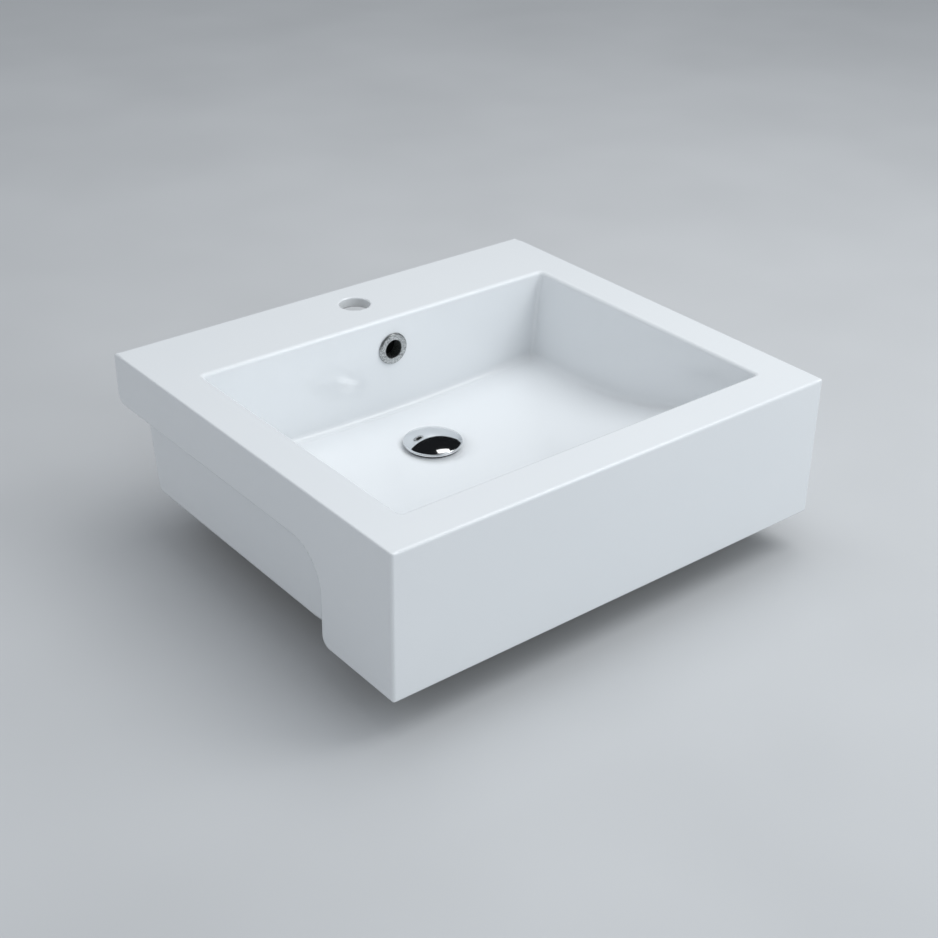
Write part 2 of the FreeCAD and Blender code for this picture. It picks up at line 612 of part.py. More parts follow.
def make_cartridge_housing():
    """The housing: a cup on a threaded stud, with three ribs whose lower ends are ramps."""
    wall, bore = "sizes.housing_diameter / 2", "sizes.housing_bore / 2"
    stud, stud_low = "sizes.stud_diameter / 2", f"{HUB_TOP} - sizes.stud_length"
    body = turned("cartridge_housing", (
        ("0", stud_low), (stud, stud_low), (stud, HUB_TOP), (wall, HUB_TOP),
        (wall, HOUSING_TOP), (bore, HOUSING_TOP), (bore, HOUSING_FLOOR), ("0", HOUSING_FLOOR)))
    low = f"({ROTOR_TOP} + sizes.running_gap)"
    high = f"({GLAND_LOW} - sizes.running_gap)"
    side = "sizes.rib_half_chord"
    side_feature(body, "rib", (
        (f"-{side}", low), (side, f"{low} + sizes.rib_ramp"), (side, high), (f"-{side}", high)),
        "sizes.rib_bore / 2", "(sizes.housing_bore - sizes.rib_bore) / 2 + sizes.key_root")
    return body


def make_cartridge_cap():
    """The gland that closes the housing and guides the plunger, with a groove for its ring."""
    outer, bore = "sizes.gland_diameter / 2", "sizes.gland_bore / 2"
    spigot, groove = "sizes.gland_spigot_diameter / 2", "sizes.ring_groove_diameter / 2"
    groove_floor = f"{GLAND_TOP} - sizes.ring_groove_depth"
    return turned("cartridge_cap", (
        (bore, GLAND_LOW), (spigot, GLAND_LOW), (spigot, HOUSING_TOP), (outer, HOUSING_TOP),
        (outer, f"{GLAND_TOP} - sizes.gland_chamfer"), (f"{outer} - sizes.gland_chamfer", GLAND_TOP),
        (groove, GLAND_TOP), (groove, groove_floor), (bore, groove_floor)))


def make_spindle_ring():
    """The ring seal round the plunger."""
    ring_seal = doc.addObject("Part::Torus", "spindle_ring_solid")
    ring_seal.setExpression("Radius2", "sizes.o_ring_wire / 2")
    ring_seal.setExpression(
        "Radius1", "(sizes.rod_diameter + sizes.o_ring_wire + sizes.running_gap) / 2")
    doc.recompute()
    body = new_body("spindle_ring", ring_seal)
    floor = f"{GLAND_TOP} - sizes.ring_groove_depth"
    body.setExpression("Placement.Base.z", f"{floor} + sizes.o_ring_wire / 2 + sizes.seat_gap")
    return body


def make_plunger():
    """The plunger: rod, crown with three fins that slide between the ribs, and a tail pin."""
    crown, shank = "sizes.crown_diameter / 2", "sizes.rod_diameter / 2"
    pin, thread = "sizes.tail_pin_diameter / 2", "sizes.rod_thread / 2 - sizes.stud_gap"
    pin_low = f"{CROWN_LOW} - sizes.tail_pin_length"
    nut_low = f"{BOSS_LOW} - sizes.locknut_height"
    end = f"{BOSS_LOW} + sizes.cap_socket_depth - sizes.running_gap"
    body = turned("plunger", (
        ("0", pin_low), (pin, pin_low), (pin, CROWN_LOW), (crown, CROWN_LOW), (crown, CROWN_TOP),
        (shank, CROWN_TOP), (shank, nut_low), (thread, nut_low), (thread, end), ("0", end)))
    side = "sizes.fin_width / 2"
    side_feature(body, "fin", (
        (f"-{side}", CROWN_LOW), (side, CROWN_LOW), (side, FIN_TOP), (f"-{side}", FIN_TOP)),
        "sizes.rod_diameter / 2 - sizes.key_root",
        "(sizes.fin_diameter - sizes.rod_diameter) / 2 + sizes.key_root", inwards=True)
    return body


def make_latch_rotor():
    """The latch rotor: a ring on the tail pin, with three lugs that hook under the ribs."""
    body = ring("latch_rotor", "sizes.rotor_bore", "sizes.crown_diameter", ROTOR_LOW, ROTOR_TOP)
    side = "sizes.lug_width / 2"
    low = f"{ROTOR_TOP} - sizes.lug_height"
    side_feature(body, "lug", (
        (f"-{side}", low), (side, low), (side, ROTOR_TOP), (f"-{side}", ROTOR_TOP)),
        "sizes.crown_diameter / 2 - sizes.key_root",
        "(sizes.fin_diameter - sizes.crown_diameter) / 2 + sizes.key_root")
    return body


def make_return_spring():
    """The spring that lifts the plunger, wound from round wire."""
    low = f"{HOUSING_FLOOR} + sizes.spring_wire / 2 + sizes.seat_gap"
    high = f"{ROTOR_LOW} - sizes.spring_wire / 2 - sizes.seat_gap"
    path = doc.addObject("Part::Helix", "spring_path")
    path.setExpression("Radius", "(sizes.spring_diameter - sizes.spring_wire) / 2")
    path.setExpression("Height", f"({high}) - ({low})")
    path.setExpression("Pitch", f"(({high}) - ({low})) / sizes.spring_turns")
    path.setExpression("Placement.Base.z", low)
    wire = doc.addObject("Part::Circle", "spring_wire_section")
    wire.Placement = Placement(Vector(), Rotation(Vector(1, 0, 0), 90))
    wire.setExpression("Radius", "sizes.spring_wire / 2")
    wire.setExpression("Placement.Base.x", "(sizes.spring_diameter - sizes.spring_wire) / 2")
    wire.setExpression("Placement.Base.z", low)
    doc.recompute()
    coil = doc.addObject("Part::Sweep", "spring_solid")
    coil.Sections = [wire]
    coil.Spine = (path, [f"Edge{i}" for i in range(1, len(path.Shape.Edges) + 1)])
    coil.Solid = True
    coil.Frenet = True
    doc.recompute()
    return new_body("return_spring", coil)


def cap_ceiling(radius):
    """The height of the plug cap's inner face at a distance from its axis."""
    return dome_height(radius, "sizes.cap_height - sizes.cap_skin",
                       "sizes.cap_diameter - 2 * sizes.cap_skin", f"{CAP_TOP} - sizes.cap_skin")


def make_plug_cap():
    """The domed cap, hollow beneath, with a skirt for its seal and a threaded boss."""
    outer, edge = "sizes.cap_diameter / 2", f"{CAP_LOW} + sizes.cap_edge"
    inner = f"({outer} - sizes.cap_skin)"
    sphere = dome_radius("sizes.cap_height - sizes.cap_edge", "sizes.cap_diameter")
    under = dome_radius("sizes.cap_height - sizes.cap_skin",
                        "sizes.cap_diameter - 2 * sizes.cap_skin")
    skirt = "sizes.skirt_diameter / 2"
    skirt_in = f"{skirt} - sizes.skirt_wall"
    skirt_low = f"{CAP_LOW} + sizes.skirt_rise"
    boss, thread = "sizes.cap_boss_diameter / 2", "sizes.rod_thread / 2"
    socket = f"{BOSS_LOW} + sizes.cap_socket_depth"
    return turned("plug_cap", (
        ("0", CAP_TOP), (outer, edge), (outer, CAP_LOW), (inner, CAP_LOW),
        (skirt, cap_ceiling(skirt)), (skirt, skirt_low), (skirt_in, skirt_low),
        (skirt_in, cap_ceiling(skirt_in)), (boss, cap_ceiling(boss)), (boss, BOSS_LOW),
        (thread, BOSS_LOW), (thread, socket), ("0", socket),
    ), {0: (sphere, True), 3: (under, False), 7: (under, False)})


def make_plug_seal():
    """The seal round the cap's skirt, which closes on the top of the flange."""
    inner = "sizes.skirt_diameter / 2 + sizes.seal_gap"
    outer = "sizes.seal_diameter / 2"
    low = f"{FLANGE_TOP} + sizes.seal_clearance"
    high = f"{cap_ceiling(outer)} - sizes.seal_gap"
    return turned("plug_seal", ((inner, low), (outer, low), (outer, high), (inner, high)))


nodes = [
    make_basin(),
    make_overflow_ring(),
    make_overflow_sleeve(),
    make_waste_body(),
    ring("flange_seal", "sizes.washer_bore", "sizes.flange_seal_diameter", SEAT, UNDER_FLANGE),
    ring("lower_washer", "sizes.washer_bore", "sizes.washer_diameter", WASHER_LOW, "-sizes.body_drop"),
    ring("slip_washer", "sizes.washer_bore", "sizes.slip_washer_diameter", SLIP_LOW, WASHER_LOW),
    hex_nut("backnut", "sizes.backnut_flats", "sizes.backnut_bore", NUT_LOW, SLIP_LOW,
            "sizes.backnut_chamfer"),
    make_cartridge_housing(),
    make_cartridge_cap(),
    make_spindle_ring(),
    make_plunger(),
    make_latch_rotor(),
    make_return_spring(),
    make_plug_cap(),
    make_plug_seal(),
    hex_nut("cap_locknut", "sizes.locknut_flats", "sizes.rod_thread",
            f"({BOSS_LOW} - sizes.locknut_height)", BOSS_LOW, "sizes.locknut_chamfer"),
]
doc.recompute()

failed = [o.Name for o in doc.Objects if {"Invalid", "Error"} & set(o.State)]
if failed:
    raise RuntimeError(f"failed: {failed}")
for node in nodes:
    if node.Shape.isNull() or not node.Shape.isValid() or not node.Shape.Solids:
        raise RuntimeError(f"bad shape: {node.Label}")
    print(node.Label, len(node.Shape.Solids), round(node.Shape.Volume, 1))

os.makedirs("parts", exist_ok=True)
for node in nodes:
    node.Shape.exportStep(f"parts/{node.Label}.step")
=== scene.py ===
import math

import bmesh
import bpy
import numpy as np
from mathutils import Matrix, Vector


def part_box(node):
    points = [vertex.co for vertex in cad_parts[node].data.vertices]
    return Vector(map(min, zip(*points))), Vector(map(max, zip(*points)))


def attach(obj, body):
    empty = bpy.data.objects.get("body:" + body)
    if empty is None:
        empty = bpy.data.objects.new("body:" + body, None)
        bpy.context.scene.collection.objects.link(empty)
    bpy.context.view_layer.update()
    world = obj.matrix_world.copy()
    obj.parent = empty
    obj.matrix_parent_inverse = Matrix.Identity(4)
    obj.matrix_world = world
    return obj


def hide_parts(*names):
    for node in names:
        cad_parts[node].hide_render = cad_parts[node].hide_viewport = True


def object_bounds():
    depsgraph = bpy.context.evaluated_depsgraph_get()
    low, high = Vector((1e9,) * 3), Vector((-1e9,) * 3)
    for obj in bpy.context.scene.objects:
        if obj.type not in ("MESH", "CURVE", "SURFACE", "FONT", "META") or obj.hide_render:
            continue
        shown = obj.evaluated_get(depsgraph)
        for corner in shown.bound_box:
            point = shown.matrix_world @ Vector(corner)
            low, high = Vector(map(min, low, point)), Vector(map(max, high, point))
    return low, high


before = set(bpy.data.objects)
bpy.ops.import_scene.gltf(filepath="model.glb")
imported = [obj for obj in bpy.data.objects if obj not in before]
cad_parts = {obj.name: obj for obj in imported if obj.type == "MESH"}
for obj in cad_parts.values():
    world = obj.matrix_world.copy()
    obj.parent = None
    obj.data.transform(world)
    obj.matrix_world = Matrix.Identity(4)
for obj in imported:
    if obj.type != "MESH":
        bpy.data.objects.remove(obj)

# The room: a pale painted floor just under the waste's tail, soft light from broad panels, one
# small bright window that the chrome picks up, and the camera where the photographer stood.

MM = 0.001
cad_box = [list(corner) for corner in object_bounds()]
scene = bpy.context.scene

floor_height = cad_box[0][2] - 3 * MM
floor_reach = 9
floor_mesh = bpy.data.meshes.new("studio_floor")
floor_mesh.from_pydata([(x * floor_reach, y * floor_reach, floor_height)
                        for x, y in ((-1, -1), (1, -1), (1, 1), (-1, 1))], [], [(0, 1, 2, 3)])
floor = bpy.data.objects.new("studio_floor", floor_mesh)
scene.collection.objects.link(floor)


def new_material(name, **sockets):
    """A node material; each named socket of its shader is set to a constant. Returns the
    material, its node tree and its shader."""
    material = bpy.data.materials.new(name)
    material.use_nodes = True
    shader = material.node_tree.nodes["Principled BSDF"]
    for socket, number in sockets.items():
        shader.inputs[socket.replace("_", " ")].default_value = number
    return material, material.node_tree, shader


def add_node(tree, kind, links=(), **inputs):
    """A node in a tree, with constants on its inputs and links of (input, output socket)."""
    node = tree.nodes.new(f"ShaderNode{kind}")
    for name, number in inputs.items():
        node.inputs[name.replace("_", " ")].default_value = number
    for name, socket in links:
        tree.links.new(socket, node.inputs[name])
    return node


def add_ramp(tree, factor, *stops):
    """A colour ramp over a factor with stops of (place, colour)."""
    ramp = add_node(tree, "ValToRGB", [("Fac", factor)])
    elements = ramp.color_ramp.elements
    while len(elements) < len(stops):
        elements.new(0.5)
    for element, (place, colour) in zip(elements, stops):
        element.position = place
        element.color = colour
    return ramp.outputs["Color"]


paint, tree, shader = new_material("studio_paint", Roughness=0.75)
place = add_node(tree, "TexCoord").outputs["Object"]
mottle = add_node(tree, "TexNoise", [("Vector", place)], Scale=3.0)
tone = add_ramp(tree, mottle.outputs["Fac"],
                (0.3, (0.58, 0.59, 0.60, 1)), (0.7, (0.62, 0.63, 0.64, 1)))
tree.links.new(tone, shader.inputs["Base Color"])
floor_mesh.materials.append(paint)

focal_pixels, frame_pixels = 1605.07, 938
camera_data = bpy.data.cameras.new("photographer")
camera_data.sensor_width = 36
camera_data.lens = 36 * focal_pixels / frame_pixels
camera = bpy.data.objects.new("photographer", camera_data)
scene.collection.objects.link(camera)
scene.camera = camera
turn, tilt, roll = math.radians(38.91), math.radians(29.62), math.radians(0.77)
ahead = Vector((math.sin(turn) * math.cos(tilt), math.cos(turn) * math.cos(tilt), -math.sin(tilt)))
right = Vector((math.cos(turn), -math.sin(turn), 0))
above = right.cross(ahead)
right, above = (math.cos(roll) * right + math.sin(roll) * above,
                math.cos(roll) * above - math.sin(roll) * right)
camera.matrix_world = Matrix.Translation((-0.9401, -1.2285, 0.7896)) @ Matrix(
    (right, above, -ahead)).transposed().to_4x4()

scene.view_settings.view_transform = "Standard"
world = bpy.data.worlds.new("studio_air")
world.use_nodes = True
scene.world = world
air = world.node_tree
path = add_node(air, "LightPath").outputs["Is Glossy Ray"]
shade = add_ramp(air, path, (0.0, (0.84, 0.885, 0.94, 1)), (1.0, (0.02, 0.022, 0.025, 1)))
air.links.new(shade, air.nodes["Background"].inputs["Color"])
air.nodes["Background"].inputs["Strength"].default_value = 0.54


def light_panel(name, place, across, power, colour, mirrored):
    """A square panel of soft light that faces the basin; one that isn't mirrored lights things
    without showing in the gloss."""
    data = bpy.data.lights.new(name, "AREA")
    data.shape = "SQUARE"
    data.size = across
    data.energy = power
    data.color = colour
    panel = bpy.data.objects.new(name, data)
    scene.collection.objects.link(panel)
    panel.location = place
    panel.rotation_mode = "QUATERNION"
    panel.rotation_quaternion = Vector(place).to_track_quat("Z", "Y")
    panel.visible_glossy = mirrored


light_panel("top_panel", (0.6, -0.1, 2.2), 2.2, 20, (0.965, 0.98, 0.985), False)
light_panel("side_panel", (-2.0, -0.2, 1.5), 1.2, 2.2, (0.98, 0.99, 1.0), False)
light_panel("front_panel", (0.9, -2.4, 1.1), 1.8, 13.5, (0.90, 0.96, 1.0), True)
light_panel("edge_panel", (1.1, -1.0, 1.45), 0.8, 7, (0.97, 0.99, 1.0), True)
light_panel("window_panel", (0.75, -0.18, 2.0), 0.8, 3, (1.0, 1.0, 1.0), True)

# The casting: vitreous china, slip-cast in one piece and glazed white. It is hollow underneath,
# where the clay stays bare, and its rim rests on the counter while its apron hangs in front.

casting_low, casting_high = (np.array(corner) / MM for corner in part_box("basin"))
half_width, back, top = casting_high
front, apron_low = casting_low[1:]
wall = 10
plan_corner, under_edge, rear_low, front_top, side_top, rear_top = 3, 2.5, 13, 3.2, 2, 5
apron_back, heel, step = front + 114, 12, 45
body_half, body_back, body_low, body_lean = half_width - 10.5, back - 36, -96, 0.04366
body_corner, body_foot, seat_fillet = 12, 8, 3
toe_start, toe_bend = apron_back + 38, 85
bowl_half, bowl_front, bowl_back, bowl_floor = half_width - 46, front + 50, back - 103, top - 116
side_lean, front_lean, corner, foot, lip = 12, 15, 4.5, 7.5, 4.2
rise_start, rise_bend, dish_bend = 10, 520, 2690
seat_radius, dish_radius, seat_level, dish_rise = 33.5, 59, bowl_floor - 2, 8
side_slant, front_slant, floor_slant = 0.995, 0.992, 0.93
room_top, shelf_top, room_corner, room_edge, rib_fillet = top - 12, wall, 5, 4, 3
niche_half, niche_back = 75, back - 21
duct_half, duct_gap, duct_top, duct_floor = 28, 12, 34, body_low + 9
duct_back = bowl_back + wall + duct_gap
boss, waste_hole = 46, 23
tap_y, tap_hole, tap_edge = back - 48, 17.5, 1.5
overflow_x, overflow_z, overflow_hole = 12, top - 38, 13.5


def round_max(a, b, radius):
    """Where two solids overlap, with the edge between them rounded: the larger distance, but
    the length of both overshoots where each is within a radius of its face."""
    inner = np.minimum(np.maximum(a, b), -radius)
    return inner + np.hypot(np.maximum(a + radius, 0), np.maximum(b + radius, 0))


def round_min(a, b, radius):
    """Two solids joined, with the corner between them filled to a radius."""
    return -round_max(-a, -b, radius)


def ease(x, low, high):
    """0 below low and 1 above high, with a smooth step t * t * (3 - 2 t) between."""
    t = np.clip((x - low) / (high - low), 0, 1)
    return t * t * (3 - 2 * t)


def slab(x, low, high):
    """Distance from a slab between two planes, negative inside."""
    return np.maximum(low - x, x - high)


def floor_level(x, y, deeper):
    """The bowl's floor, or its underside a wall deeper: a valley on a wide arc across, which
    rises to the front on an arc of rise_bend: bend - sqrt(bend^2 - run^2)."""
    bend = rise_bend + deeper
    rise = bend - np.sqrt(bend ** 2 - np.clip(rise_start - y, 0, bend - 1) ** 2)
    axis = dish_bend + bowl_floor
    return axis - np.sqrt((axis - (rise + bowl_floor - deeper)) ** 2 - x * x)


def dish_level(x, y):
    """The floor with its fall to the waste: the lower of the floor and a cone round the waste,
    blended over 3 mm of height."""
    away = np.hypot(x, y)
    slope_up = dish_rise / (dish_radius - seat_radius)
    cone = seat_level + slope_up * np.maximum(away - seat_radius, 0)
    cone = cone + np.maximum(away - dish_radius, 0)
    level = floor_level(x, y, 0)
    mix = np.clip(0.5 + (cone - level) / 3, 0, 1)
    return cone * (1 - mix) + level * mix - 1.5 * mix * (1 - mix)


def bowl_space(x, y, z, grow, level):
    """The hollow of the bowl grown by a wall: leaning sides and front, an upright back and a
    floor level. The slants turn steps across a leaning face into distances from it."""
    lean = (top - z) / (top - bowl_floor)
    side = (np.abs(x) - (bowl_half + grow - side_lean * lean)) * side_slant
    face = (bowl_front - grow + front_lean * lean - y) * front_slant
    walls = round_max(round_max(side, y - bowl_back - grow, corner + grow), face, corner + grow)
    return round_max(walls, (level - z) * floor_slant, foot + grow)


def outer_form(x, y, z):
    """The outside: a plan with rounded corners, cut beneath by a step behind the apron, and the
    lower body, whose walls lean in as they go down and whose floor rises to the apron on an
    arc: bend - sqrt(bend^2 - run^2)."""
    plan = round_max(np.abs(x) - half_width, front - y, plan_corner)
    notch = round_max(apron_back - y, z, step)
    under = round_max(-notch, apron_low - z, heel)
    under = round_max(under, y - back, rear_low)
    block = round_max(plan, under, under_edge)
    shift = z * body_lean
    body = round_max(np.abs(x) - body_half - shift, y - body_back - shift, body_corner)
    run = np.clip(toe_start - y, 0, toe_start - apron_back + wall)
    toe = toe_bend - np.sqrt(toe_bend ** 2 - run ** 2)
    body = round_max(body, slab(z, body_low + toe, wall), body_foot)
    body = np.maximum(body, apron_back - wall - y)
    block = round_min(block, body, seat_fillet)
    edge = front_top + (side_top - front_top) * ease(np.abs(x), half_width - 8, half_width - 1)
    edge = edge + (rear_top - front_top) * ease(y, back - 20, back - 8)
    return round_max(block, z - top, edge)


def rooms_below(x, y, z):
    """The air underneath: inside the rim, the apron and the body, less the bowl's wall, the webs,
    the overflow's duct and the boss round the waste."""
    wide = np.abs(x)
    shift = z * body_lean
    inside = wide - half_width + wall
    roof = z - room_top
    rim = round_max(round_max(inside, slab(y, front + wall, back - wall), room_corner),
                    slab(z, shelf_top, room_top), room_edge)
    apron = round_max(inside, slab(y, front + wall, apron_back - wall), room_corner)
    apron = round_max(apron, roof, room_edge)
    body = round_max(wide - body_half + wall - shift,
                     np.maximum(apron_back - y, y - body_back + wall - shift), body_foot)
    body = round_max(body, roof, room_edge)
    niche = round_max(wide - niche_half, slab(y, bowl_back, niche_back), room_corner)
    niche = round_max(niche, roof, room_edge)
    window = round_max(round_max(wide - niche_half, slab(z, shelf_top, room_top), room_corner),
                       slab(y, bowl_back, back + wall), 1)
    hollow = np.minimum(np.minimum(rim, apron), np.minimum(body, np.minimum(niche, window)))
    webs = np.maximum(slab(wide, niche_half, niche_half + wall),
                      np.maximum(slab(y, bowl_back - wall, back - 1), body_low - z))
    duct = np.maximum(np.maximum(wide - duct_half - wall, slab(y, 0, duct_back + wall)),
                      slab(z, body_low, duct_top + wall))
    post = np.maximum(np.hypot(x, y) - boss, slab(z, body_low, bowl_floor))
    cover = bowl_space(x, y, z, wall, floor_level(x, y, wall))
    kept = np.minimum(np.minimum(cover, webs), np.minimum(duct, post))
    return round_max(hollow, -kept, rib_fillet)


def drain_ways(x, y, z):
    """The overflow's hole, its duct down the back of the bowl and under the floor, and the hole
    that the waste stands in."""
    hole = np.maximum(np.hypot(x - overflow_x, z - overflow_z) - overflow_hole,
                      slab(y, bowl_back - wall, bowl_back + 16))
    drop = round_max(np.abs(x) - duct_half, round_max(
        slab(y, bowl_back + wall, duct_back), slab(z, duct_floor, duct_top), 2), 2)
    run = np.maximum(np.maximum(np.abs(x) - duct_half, slab(y, waste_hole / 2, duct_back)),
                     slab(z, duct_floor, duct_floor + duct_gap))
    waste = np.maximum(np.hypot(x, y) - waste_hole, z)
    return np.minimum(np.minimum(hole, drop), np.minimum(run, waste))


def casting_field(x, y, z):
    """Distance to the china in millimetres, negative inside it."""
    bowl = bowl_space(x, y, z, 0, dish_level(x, y))
    china = round_max(outer_form(x, y, z), -bowl, lip)
    china = np.maximum(china, -rooms_below(x, y, z))
    china = round_max(china, -np.maximum(np.hypot(x, y - tap_y) - tap_hole, -z), tap_edge)
    return np.maximum(china, -drain_ways(x, y, z))


def stations(*runs):
    """Grid lines along one axis from runs of (from, to, step)."""
    return np.unique(np.concatenate([np.arange(low, high, step) for low, high, step in runs]))


def skin_of(field, xs, ys, zs):
    """The zero surface of a field on a grid: each cell that the surface crosses gets one point,
    the mean of the crossings on its edges, and each grid edge that it crosses gets one face
    from the four cells round it."""
    f = field(xs[:, None, None], ys[None, :, None], zs[None, None, :]).astype(np.float32)
    inside = f < 0
    shape = np.array(f.shape) - 1
    corners = [(i, j, k) for i in (0, 1) for j in (0, 1) for k in (0, 1)]
    count = sum(inside[i:shape[0] + i, j:shape[1] + j, k:shape[2] + k].astype(np.int8)
                for i, j, k in corners)
    cells = np.argwhere((count > 0) & (count < 8))
    number = np.full(shape, -1, np.int32)
    number[tuple(cells.T)] = np.arange(len(cells))
    axes = (xs, ys, zs)
    total = np.zeros((len(cells), 3))
    hits = np.zeros(len(cells))
    for axis in range(3):
        one, two = [a for a in range(3) if a != axis]
        for u in (0, 1):
            for v in (0, 1):
                low = cells.copy()
                low[:, one] += u
                low[:, two] += v
                high = low.copy()
                high[:, axis] += 1
                a, b = f[tuple(low.T)], f[tuple(high.T)]
                crossed = (a < 0) != (b < 0)
                t = np.where(crossed, a / np.where(crossed, a - b, 1), 0)
                point = np.stack([axes[d][low[:, d]] for d in range(3)], axis=1)
                point[:, axis] += t * (axes[axis][high[:, axis]] - axes[axis][low[:, axis]])
                total += point * crossed[:, None]
                hits += crossed
    points = total / hits[:, None]
    faces = []
    for axis in range(3):
        one, two = (axis + 1) % 3, (axis + 2) % 3
        span = [slice(None)] * 3
        span[axis] = slice(0, -1)
        after = list(span)
        after[axis] = slice(1, None)
        edges = np.argwhere(inside[tuple(span)] != inside[tuple(after)])
        edges = edges[(edges[:, one] > 0) & (edges[:, two] > 0)]
        edges = edges[(edges[:, one] < shape[one]) & (edges[:, two] < shape[two])]
        around = []
        for u, v in ((1, 1), (0, 1), (0, 0), (1, 0)):
            cell = edges.copy()
            cell[:, one] -= u
            cell[:, two] -= v
            around.append(number[tuple(cell.T)])
        quad = np.stack(around, axis=1)
        outward = inside[tuple(edges.T)]
        faces.append(np.where(outward[:, None], quad, quad[:, ::-1]))
    return points, np.concatenate(faces)


def slope(field, p, reach):
    """The field's gradient at points, by differences over a reach to each side."""
    steps = np.eye(3) * reach
    return np.stack([field(*(p + s).T) - field(*(p - s).T) for s in steps], axis=1) / (2 * reach)


def settle(field, p, rounds):
    """Points moved along the gradient onto the zero surface, at most 0.6 mm a round."""
    for _ in range(rounds):
        g = slope(field, p, 0.02)
        move = field(*p.T) / np.maximum((g * g).sum(axis=1), 0.3)
        p = p - np.clip(move, -0.6, 0.6)[:, None] * g
    return p


def mesh_from(name, points, faces):
    """A mesh from points in millimetres and an array of faces with equal corner counts."""
    mesh = bpy.data.meshes.new(name)
    sides = faces.shape[1]
    mesh.vertices.add(len(points))
    mesh.vertices.foreach_set("co", (points * MM).astype(np.float32).ravel())
    mesh.loops.add(faces.size)
    mesh.loops.foreach_set("vertex_index", faces.astype(np.int32).ravel())
    mesh.polygons.add(len(faces))
    mesh.polygons.foreach_set("loop_start", np.arange(0, faces.size, sides, dtype=np.int32))
    mesh.polygons.foreach_set("use_smooth", np.ones(len(faces), bool))
    mesh.update(calc_edges=True)
    return mesh


def read_all(items, name, width, kind=np.float32):
    """One property of every item of a mesh as an array."""
    flat = np.empty(len(items) * width, kind)
    items.foreach_get(name, flat)
    return flat.reshape(-1, width) if width > 1 else flat


def thin_out(mesh, flatness):
    """Joins neighbouring faces that lie within an angle of each other."""
    work = bmesh.new()
    work.from_mesh(mesh)
    bmesh.ops.dissolve_limit(work, angle_limit=math.radians(flatness), verts=work.verts[:],
                             edges=work.edges[:])
    bmesh.ops.triangulate(work, faces=work.faces[:])
    work.to_mesh(mesh)
    work.free()


def shade_by(mesh, normals):
    """Shades a mesh by its points' own normals, except where a face turns over 25 degrees from
    one, as at a sharp edge: there the face's own normal counts, if the face isn't a sliver."""
    corner_point = read_all(mesh.loops, "vertex_index", 1, np.int32)
    face_normals = read_all(mesh.polygons, "normal", 3)
    corners = read_all(mesh.polygons, "loop_total", 1, np.int32)
    flat = np.repeat(face_normals, corners, axis=0)
    soft = normals[corner_point]
    sliver = np.repeat(read_all(mesh.polygons, "area", 1) < 0.02 * MM * MM, corners)
    together = ((flat * soft).sum(axis=1) > math.cos(math.radians(25))) | sliver
    mesh.normals_split_custom_set(np.where(together[:, None], soft, flat).tolist())


def cast(name, field, xs, ys, zs, flatness):
    """A closed mesh of a field's zero surface, thinned where it is flat and shaded by the field's
    gradient."""
    points, faces = skin_of(field, xs, ys, zs)
    mesh = mesh_from(name, settle(field, points, 4), faces)
    thin_out(mesh, flatness)
    places = read_all(mesh.vertices, "co", 3).astype(float) / MM
    normals = slope(field, places, 0.004)
    shade_by(mesh, normals / np.maximum(np.linalg.norm(normals, axis=1, keepdims=True), 1e-9))
    print(name, len(mesh.vertices), len(mesh.polygons))
    return mesh, places


def new_piece(name, mesh, body, slot, material, *replaced):
    """An object on a mesh that rides on a body and stands for the nodes it replaces."""
    mesh.materials.append(material)
    piece = bpy.data.objects.new(name, mesh)
    scene.collection.objects.link(piece)
    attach(piece, body)
    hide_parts(*replaced)


# The grid's lines, close where the casting has edges and wide apart where it is flat.
sides = stations((205, 214, 3), (214, 222, 1.5), (222, 233, 1.1), (233, 260, 4),
                 (260, 270, 1.5), (270, 276.5, 0.9))
middle = stations((-48, 48, 2.5), (-90, -70, 2.5), (70, 91, 2.5), (-202, -90, 8), (96, 202, 8))
grid_x = np.concatenate([-sides[::-1], middle, sides])
grid_y = stations((-303.5, -297, 0.9), (-297, -257, 4), (-257, -228, 1.5), (-228, -182, 3),
                  (-182, -60, 6), (-60, 60, 2.5), (60, 78, 4), (78, 92, 1.1), (92, 124, 2),
                  (124, 165, 2.5), (165, 189, 2.5), (189, 194.5, 0.9))
grid_z = stations((-101.5, -84, 1.4), (-84, -66, 2), (-66, -46, 1.6), (-46, -6, 2.8), (-6, 14, 1.8),
                  (14, 48, 3), (48, 54, 1.5), (54, 59.5, 0.8))
casting_mesh, places = cast("basin_casting", casting_field, grid_x, grid_y, grid_z, 0.12)
bare = (np.abs(rooms_below(*places.T)) < 0.8) & (np.abs(outer_form(*places.T)) > 0.5)
# Faces on the drain ways, which the glaze below paints near-black as painted shade.
duct = np.abs(drain_ways(*places.T)) < 0.8
face_points = read_all(casting_mesh.loops, "vertex_index", 1, np.int32).reshape(-1, 3)
for name, points in (("bare", bare | duct), ("duct", duct)):
    casting_mesh.attributes.new(name, "FLOAT", "FACE").data.foreach_set(
        "value", points[face_points].all(axis=1).astype(np.float32))

glaze, tree, shader = new_material("white_glaze", Coat_Roughness=0.05, IOR=1.52)
place = add_node(tree, "TexCoord").outputs["Object"]
cloud = add_node(tree, "TexNoise", [("Vector", place)], Scale=5.0, Detail=3.0).outputs["Fac"]
white = add_ramp(tree, cloud, (0.3, (0.835, 0.858, 0.876, 1)), (0.7, (0.852, 0.873, 0.888, 1)))
grit = add_node(tree, "TexNoise", [("Vector", place)], Scale=420.0, Detail=4.0).outputs["Fac"]
clay = add_ramp(tree, grit, (0.3, (0.50, 0.47, 0.42, 1)), (0.7, (0.66, 0.63, 0.58, 1)))
# Inside the overflow's duct and the waste's hole the bare clay is painted near-black: painted shade
# for the dark inside of the drain ways, not dirt.
in_duct = add_node(tree, "Attribute")
in_duct.attribute_name = "duct"
painted_duct_shade = add_node(tree, "MixRGB", [("Fac", in_duct.outputs["Fac"]), ("Color1", clay)],
                 Color2=(0.05, 0.055, 0.05, 1)).outputs["Color"]
unglazed = add_node(tree, "Attribute")
unglazed.attribute_name = "bare"
unglazed = unglazed.outputs["Fac"]
